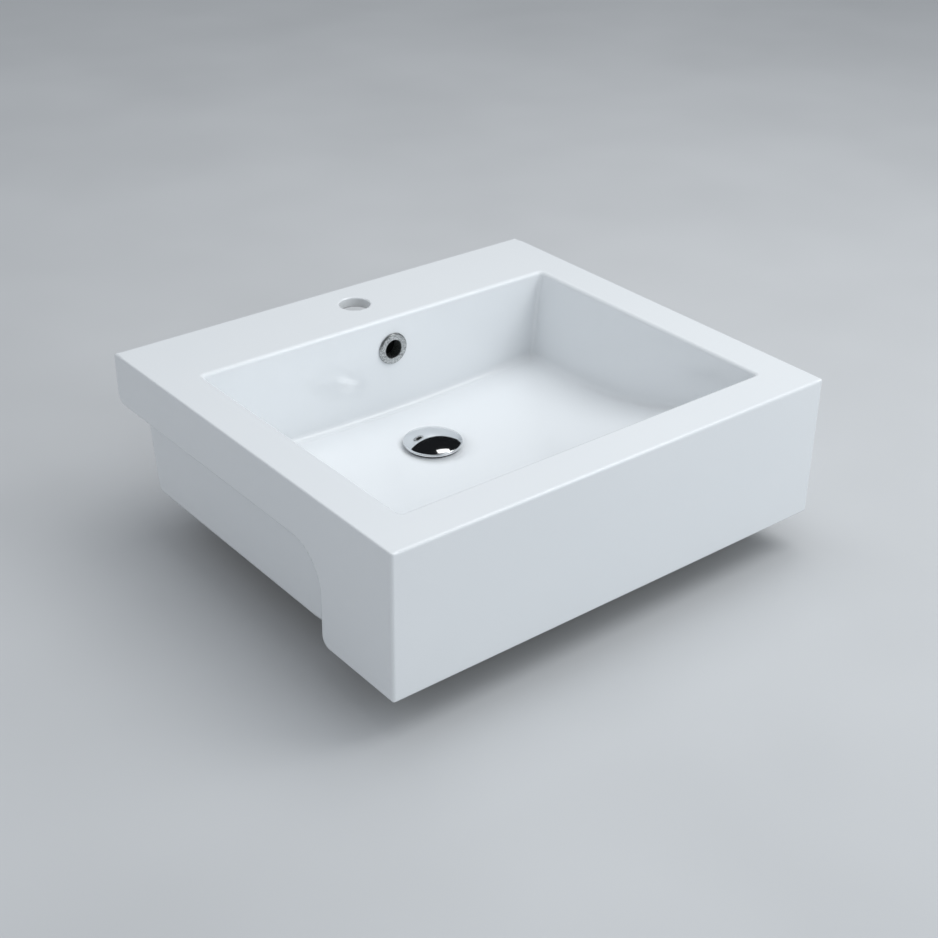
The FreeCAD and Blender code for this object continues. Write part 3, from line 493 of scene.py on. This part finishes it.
colour = add_node(tree, "MixRGB", [("Fac", unglazed), ("Color1", white), ("Color2", painted_duct_shade)])
tree.links.new(colour.outputs["Color"], shader.inputs["Base Color"])
peel = add_node(tree, "TexNoise", [("Vector", place)], Scale=110.0, Detail=2.0).outputs["Fac"]
sheen = add_node(tree, "MapRange", [("Value", peel)], To_Min=0.07, To_Max=0.13).outputs["Result"]
rough = add_node(tree, "MixRGB", [("Fac", unglazed), ("Color1", sheen)], Color2=(0.8, 0.8, 0.8, 1))
tree.links.new(rough.outputs["Color"], shader.inputs["Roughness"])
height = add_node(tree, "MixRGB", [("Fac", unglazed), ("Color1", peel), ("Color2", grit)])
bump = add_node(tree, "Bump", [("Height", height.outputs["Color"])], Strength=0.05, Distance=0.0004)
tree.links.new(bump.outputs["Normal"], shader.inputs["Normal"])
new_piece("basin_casting", casting_mesh, "root", "ceramic", glaze, "basin")

# The overflow's trim: a brass ring, satin plated, whose spigot goes through the back wall into the
# duct, and the soft sleeve that grips the spigot in its hole.

ring_bore, ring_outer, ring_proud, ring_edge, ring_lip = 10.5, 18.5, 3, 2.2, 1.4
spigot, spigot_length, sleeve_bore, sleeve_outer = 12.3, 12, 12.4, 13.3
sleeve_start, sleeve_end = bowl_back + 1, bowl_back + 9


def trim_field(x, y, z):
    """Distance to the trim ring: a flange rounded to the front and a spigot behind it."""
    away = np.hypot(x - overflow_x, z - overflow_z)
    out = bowl_back - y
    flange = np.maximum(round_max(away - ring_outer, out - ring_proud, ring_edge), -out)
    tube = np.maximum(away - spigot, slab(out, -spigot_length, 1))
    return round_max(round_min(flange, tube, 0.3), ring_bore - away, ring_lip)


def sleeve_field(x, y, z):
    """Distance to the sleeve: a short tube round the spigot."""
    away = np.hypot(x - overflow_x, z - overflow_z)
    return round_max(slab(away, sleeve_bore, sleeve_outer), slab(y, sleeve_start, sleeve_end), 0.2)


def new_group(name, inputs, outputs):
    """A shader node group with its sockets. Returns its tree and its two end nodes."""
    group = bpy.data.node_groups.new(name, "ShaderNodeTree")
    for way, sockets in (("INPUT", inputs), ("OUTPUT", outputs)):
        for socket, kind in sockets:
            group.interface.new_socket(socket, in_out=way, socket_type=f"NodeSocket{kind}")
    return group, group.nodes.new("NodeGroupInput"), group.nodes.new("NodeGroupOutput")


def use_group(tree, group, links=(), **inputs):
    """A node that uses a group, with constants on its inputs and links to them."""
    node = tree.nodes.new("ShaderNodeGroup")
    node.node_tree = group
    for name, number in inputs.items():
        node.inputs[name].default_value = number
    for name, socket in links:
        tree.links.new(socket, node.inputs[name])
    return node


wear_group, ends, wear_out = new_group(
    "metal_wear", [("Smooth", "Float"), ("Rough", "Float")],
    [("Roughness", "Float"), ("Height", "Float")])
place = add_node(wear_group, "TexCoord").outputs["Object"]
film = add_node(wear_group, "TexNoise", [("Vector", place)], Scale=160.0, Detail=5.0).outputs["Fac"]
turning = add_node(wear_group, "TexNoise", [("Vector", place)], Scale=2400.0, Detail=2.0)
both = add_node(wear_group, "Math", [(0, film), (1, turning.outputs["Fac"])])
both.operation = "MULTIPLY"
spread = add_node(wear_group, "MapRange", [
    ("Value", both.outputs["Value"]), ("To Min", ends.outputs["Smooth"]),
    ("To Max", ends.outputs["Rough"])], From_Min=0.12, From_Max=0.42).outputs["Result"]
wear_group.links.new(spread, wear_out.inputs["Roughness"])
wear_group.links.new(both.outputs["Value"], wear_out.inputs["Height"])

grain_group, ends, grain_out = new_group(
    "dull_grain", [("Dark", "Color"), ("Light", "Color")],
    [("Colour", "Color"), ("Roughness", "Float"), ("Height", "Float")])
place = add_node(grain_group, "TexCoord").outputs["Object"]
grain = add_node(grain_group, "TexNoise", [("Vector", place)], Scale=700.0, Detail=4.0)
grain = grain.outputs["Fac"]
bloom = add_node(grain_group, "TexNoise", [("Vector", place)], Scale=90.0, Detail=3.0)
colour = add_node(grain_group, "MixRGB", [
    ("Fac", bloom.outputs["Fac"]), ("Color1", ends.outputs["Dark"]),
    ("Color2", ends.outputs["Light"])])
matt = add_node(grain_group, "MapRange", [("Value", grain)], To_Min=0.45, To_Max=0.75)
grain_group.links.new(colour.outputs["Color"], grain_out.inputs["Colour"])
grain_group.links.new(matt.outputs["Result"], grain_out.inputs["Roughness"])
grain_group.links.new(grain, grain_out.inputs["Height"])


def new_metal(name, dark, light, smooth, rough):
    """A plated or bare metal: its colour clouds between two shades and its polish is worn."""
    material, tree, shader = new_material(name, Metallic=1.0)
    wear = use_group(tree, wear_group, Smooth=smooth, Rough=rough)
    place = add_node(tree, "TexCoord").outputs["Object"]
    cloud = add_node(tree, "TexNoise", [("Vector", place)], Scale=60.0, Detail=3.0).outputs["Fac"]
    tree.links.new(add_ramp(tree, cloud, (0.3, dark), (0.7, light)), shader.inputs["Base Color"])
    tree.links.new(wear.outputs["Roughness"], shader.inputs["Roughness"])
    bump = add_node(tree, "Bump", [("Height", wear.outputs["Height"])],
                    Strength=0.04, Distance=0.0001)
    tree.links.new(bump.outputs["Normal"], shader.inputs["Normal"])
    return material, tree, shader


def new_dull(name, dark, light):
    """Rubber or plastic with a fine moulded grain."""
    material, tree, shader = new_material(name)
    grain = use_group(tree, grain_group, Dark=dark, Light=light)
    tree.links.new(grain.outputs["Colour"], shader.inputs["Base Color"])
    tree.links.new(grain.outputs["Roughness"], shader.inputs["Roughness"])
    bump = add_node(tree, "Bump", [("Height", grain.outputs["Height"])],
                    Strength=0.15, Distance=0.0002)
    tree.links.new(bump.outputs["Normal"], shader.inputs["Normal"])
    return material


satin, tree, shader = new_metal(
    "satin_plating", (0.5, 0.51, 0.51, 1), (0.7, 0.71, 0.71, 1), 0.3, 0.5)
place = add_node(tree, "TexCoord").outputs["Object"]
grains = add_node(tree, "TexVoronoi", [("Vector", place)], Scale=950.0).outputs["Color"]
speck = add_ramp(tree, grains, (0.2, (0.25, 0.26, 0.26, 1)), (0.8, (0.62, 0.63, 0.63, 1)))
tree.links.new(speck, shader.inputs["Base Color"])
soft = new_dull("sleeve_rubber", (0.02, 0.02, 0.021, 1), (0.045, 0.045, 0.046, 1))

ring_x, ring_z = (stations((centre - 19.5, centre + 19.6, 0.55))
                  for centre in (overflow_x, overflow_z))
ring_mesh, _ = cast("overflow_trim", trim_field, ring_x,
                    stations((bowl_back - 3.9, bowl_back + 13, 0.45)), ring_z, 0.5)
new_piece("overflow_trim", ring_mesh, "root", "chrome", satin, "overflow_ring")
ring_x, ring_z = (stations((centre - 14, centre + 14.1, 0.4))
                  for centre in (overflow_x, overflow_z))
sleeve_mesh, _ = cast("spigot_sleeve", sleeve_field, ring_x,
                      stations((bowl_back + 0.3, bowl_back + 10, 0.7)), ring_z, 0.5)
new_piece("spigot_sleeve", sleeve_mesh, "root", "seal_rubber", soft, "overflow_sleeve")

# The waste: brass, turned and chromed, with a broad flange in the bowl, four windows that take the
# overflow's water, a screw thread at its end, and a cross inside that holds the plug's cartridge.

flange_radius, flange_top, flange_low, tail_end = 32, seat_level + 4.5, seat_level + 2, -140
tube_bore, shank, thread, thread_start, pitch, thread_depth = 18.75, 20.3, 20.95, -113, 2.31, 0.85
mouth_radius, throat, window_half, window_low, window_high = 21.5, 3.5, 9, -88, -75
hub_radius, hub_low, hub_top, arm_half, stud_hole = 7.5, -107, -102, 2, 4.05


def groove(x, y, z):
    """Depth of a screw's groove, a wave from 0 on its crest to thread_depth at its root:
    depth * (1 - cos(2 pi z / pitch - angle)) / 2. One turn of the helix climbs one pitch."""
    phase = 2 * np.pi * z / pitch - np.arctan2(y, x)
    return thread_depth * (1 - np.cos(phase)) / 2


def waste_field(x, y, z):
    """Distance to the waste: flange and tube, less its mouth, bore and windows, and a cross."""
    away, cross = np.hypot(x, y), np.minimum(np.abs(x), np.abs(y))
    outer = np.where(z > thread_start, shank, thread - groove(x, y, z))
    flange = round_max(away - flange_radius, slab(z, flange_low, flange_top), 1.1)
    solid = round_min(flange, np.maximum(away - outer, slab(z, tail_end, flange_low)), 0.5)
    widening = np.clip((z - flange_top + throat) / throat, 0, 1)
    mouth = tube_bore + (mouth_radius - tube_bore) * widening
    solid = round_max(solid, mouth - away, 0.5)
    window = round_max(cross - window_half, slab(z, window_low, window_high), 1.5)
    solid = round_max(solid, -window, 0.3)
    arms = np.maximum(cross - arm_half, away - tube_bore - 0.5)
    inner = np.maximum(np.minimum(away - hub_radius, arms), slab(z, hub_low, hub_top))
    return np.minimum(solid, round_max(inner, stud_hole - away, 0.4))


chrome, _, _ = new_metal("bright_chrome", (0.80, 0.81, 0.82, 1), (0.85, 0.86, 0.87, 1), 0.03, 0.12)
across = stations((-33, -21.5, 1.1), (-21.5, 21.6, 0.62), (22.1, 33.3, 1.1))
levels = stations((-140.9, -112, 0.34), (-112, -60, 0.9), (-60, -54.5, 0.5))
waste_mesh, _ = cast("waste_fitting", waste_field, across, across, levels, 0.5)
new_piece("waste_fitting", waste_mesh, "root", "chrome", chrome, "waste_body")

# What clamps the waste: the flat seal under its flange, the thick rubber washer under the basin,
# the slip washer and the brass backnut, in the order that they go on the tail.

washer_bore, washer_low = 21.25, body_low - 6
nut_flats, nut_low, nut_high = 56, washer_low - 10.5, washer_low - 1.5
nut_bore, nut_corner = 21.05, 2.4


def flat_ring(name, body, node, inner, outer, low, high, slot, material):
    """A flat ring with small rounded edges."""
    def field(x, y, z):
        away = np.hypot(x, y)
        return round_max(slab(away, inner, outer), slab(z, low, high), 0.3)
    reach = stations((-outer - 1, outer + 1.1, 1.0))
    mesh, _ = cast(name, field, reach, reach, stations((low - 0.5, high + 0.6, 0.35)), 0.5)
    new_piece(name, mesh, body, slot, material, node)


def nut_field(x, y, z):
    """Distance to the nut: six flats, corners turned back at 30 degrees, and a screwed bore."""
    away, out = np.hypot(x, y), np.abs(y)
    flats = np.maximum(out, 0.5 * out + 0.866 * np.abs(x)) - nut_flats / 2
    ends = slab(z, nut_low, nut_high)
    turned_back = 0.5 * (away - nut_flats / 2 - nut_corner) + 0.866 * ends
    solid = round_max(round_max(flats, ends, 0.4), turned_back, 0.3)
    return np.maximum(solid, nut_bore + thread_depth - groove(x, y, z) - away)


rubber = new_dull("black_rubber", (0.015, 0.015, 0.016, 1), (0.04, 0.04, 0.042, 1))
nylon = new_dull("slip_nylon", (0.62, 0.61, 0.57, 1), (0.74, 0.73, 0.69, 1))
brass, _, _ = new_metal("turned_brass", (0.62, 0.44, 0.18, 1), (0.74, 0.55, 0.26, 1), 0.2, 0.4)
flat_ring("seal_under_flange", "root", "flange_seal", washer_bore, 30, seat_level, flange_low,
          "seal_rubber", rubber)
flat_ring("washer_under_basin", "root", "lower_washer", washer_bore, 34, washer_low, body_low,
          "seal_rubber", rubber)
flat_ring("slip_ring", "root", "slip_washer", washer_bore, 32, nut_high, washer_low,
          "plastic", nylon)
across = stations((-33.2, 33.4, 0.75))
nut_mesh, _ = cast("hexagon_nut", nut_field, across, across, stations((-113.1, -102.8, 0.36)), 0.5)
new_piece("hexagon_nut", nut_mesh, "root", "brass", brass, "backnut")

# The plug: a pressed brass cap, chromed, with a skirt that holds its seal and a boss that the
# plunger screws into. It springs up and down with the plunger.

cap_top, cap_low, cap_radius, dome_bend = -45.3, -54.9, 33, 69.02
under_top, under_bend, skin_half, cap_edge = -46.9, 65.62, 0.8, 1.1
skirt, skirt_wall, skirt_low, boss, boss_low = 24, 1.3, cap_low + 0.5, 6, -57
socket, socket_top = 3, -49


def cap_field(x, y, z):
    """Distance to the cap: a dome cut off at its edge, hollow below, with a skirt and a boss."""
    away = np.hypot(x, y)
    dome = np.hypot(away, z - cap_top + dome_bend) - dome_bend
    hollow = np.hypot(away, z - under_top + under_bend) - under_bend
    shell = round_max(dome, np.maximum(away - cap_radius, cap_low - z), cap_edge)
    shell = np.maximum(shell, -hollow)
    rim = round_max(slab(away, skirt - skirt_wall, skirt), skirt_low - z, 0.3)
    rim = np.maximum(rim, dome + skin_half)
    stem = np.maximum(round_max(away - boss, boss_low - z, 0.4), dome + skin_half)
    stem = np.maximum(stem, -np.maximum(away - socket, z - socket_top))
    return np.minimum(round_min(shell, rim, 0.5), stem)


across = stations((-34, 34.1, 0.6))
cap_mesh, _ = cast("domed_plug", cap_field, across, across, stations((-57.6, -44.6, 0.4)), 0.8)
new_piece("domed_plug", cap_mesh, "plug", "chrome", chrome, "plug_cap")
flat_ring("skirt_seal", "plug", "plug_seal", 24.1, 28.5, -55.2, -53.5, "seal_rubber", rubber)

# The plug's works, which keep their built shapes: a turned brass cartridge with its gland and ring
# seal, an acetal rotor, the steel plunger and spring, and the brass nut that locks the plug.

blue_acetal = new_dull("rotor_acetal", (0.05, 0.12, 0.30, 1), (0.08, 0.17, 0.38, 1))
steel, _, _ = new_metal("stainless", (0.52, 0.51, 0.50, 1), (0.62, 0.61, 0.60, 1), 0.18, 0.36)
for material, names in ((brass, ("cartridge_housing", "cartridge_cap", "cap_locknut")),
                        (blue_acetal, ("latch_rotor",)), (steel, ("plunger", "return_spring")),
                        (rubber, ("spindle_ring",))):
    for name in names:
        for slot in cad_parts[name].material_slots:
            slot.material = material
